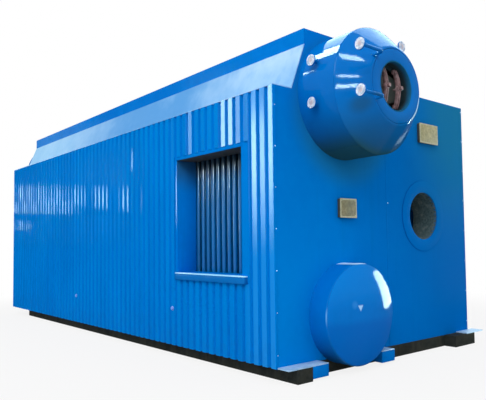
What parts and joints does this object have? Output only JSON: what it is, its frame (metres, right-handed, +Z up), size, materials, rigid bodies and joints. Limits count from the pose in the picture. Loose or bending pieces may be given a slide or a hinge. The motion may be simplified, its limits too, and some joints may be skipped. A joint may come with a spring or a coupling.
{
  "type": "industrial boiler",
  "caption": "Packaged water-tube boiler on a skid: ribbed casing, raised hood, two drum ends, round burner opening and a flue window with bare tubes.",
  "frame": {"origin": "on the ground, half way along and across the casing, on the underside of the middle cross beam", "axes": "+X across the front wall from the flue window side to the furnace side, +Y from the front wall to the rear, +Z up"},
  "size_m": [3.64, 9.5889, 3.604],
  "materials": {
    "skid_black": "dull black paint",
    "casing_blue": "gloss blue paint",
    "cladding_blue": "gloss blue coated sheet",
    "flashing_pale_blue": "gloss blue sheet, pale with sky sheen",
    "drum_blue": "gloss blue paint",
    "bare_plate": "bare mill plate",
    "rusty_steel": "rusted and dusty",
    "dark_steel": "dark primer",
    "tube_steel": "dull boiler tube",
    "refractory": "rough dark castable",
    "tan_plate": "weathered tan primer"
  },
  "bodies": {
    "root": {"skid_beam_left": "skid_black", "skid_beam_right": "skid_black", "skid_cross_beams": "skid_black", "floor_plate": "skid_black", "front_wall": "casing_blue", "rear_wall": "casing_blue", "window_frame": "casing_blue", "window_sill": "casing_blue", "hood_side_left": "casing_blue", "hood_top": "casing_blue", "hood_side_right": "casing_blue", "roof_right": "casing_blue", "burner_ring": "casing_blue", "left_cladding_front": "cladding_blue", "left_cladding_rear": "cladding_blue", "left_cladding_over_window": "cladding_blue", "left_cladding_under_window": "cladding_blue", "right_cladding": "cladding_blue", "roof_ledge": "flashing_pale_blue", "eave_flashing": "flashing_pale_blue", "upper_jacket_front": "drum_blue", "upper_cone_front": "drum_blue", "upper_ring_front": "drum_blue", "upper_end_rear": "drum_blue", "lower_jacket_front": "drum_blue", "lower_cap_front": "drum_blue", "lower_end_rear": "drum_blue", "drum_foot_left": "drum_blue", "drum_foot_right": "drum_blue", "manhole_neck": "drum_blue", "gauge_nozzles": "drum_blue", "vent_nozzle": "drum_blue", "jacking_plate_left": "bare_plate", "jacking_plate_right": "bare_plate", "manhole_yokes": "rusty_steel", "manhole_studs": "rusty_steel", "manhole_cover": "dark_steel", "steam_drum": "dark_steel", "steam_drum_heads": "dark_steel", "mud_drum": "dark_steel", "mud_drum_heads": "dark_steel", "peep_boxes": "dark_steel", "tube_bank": "tube_steel", "burner_throat": "refractory", "peep_plates": "tan_plate"}
  },
  "joints": []
}
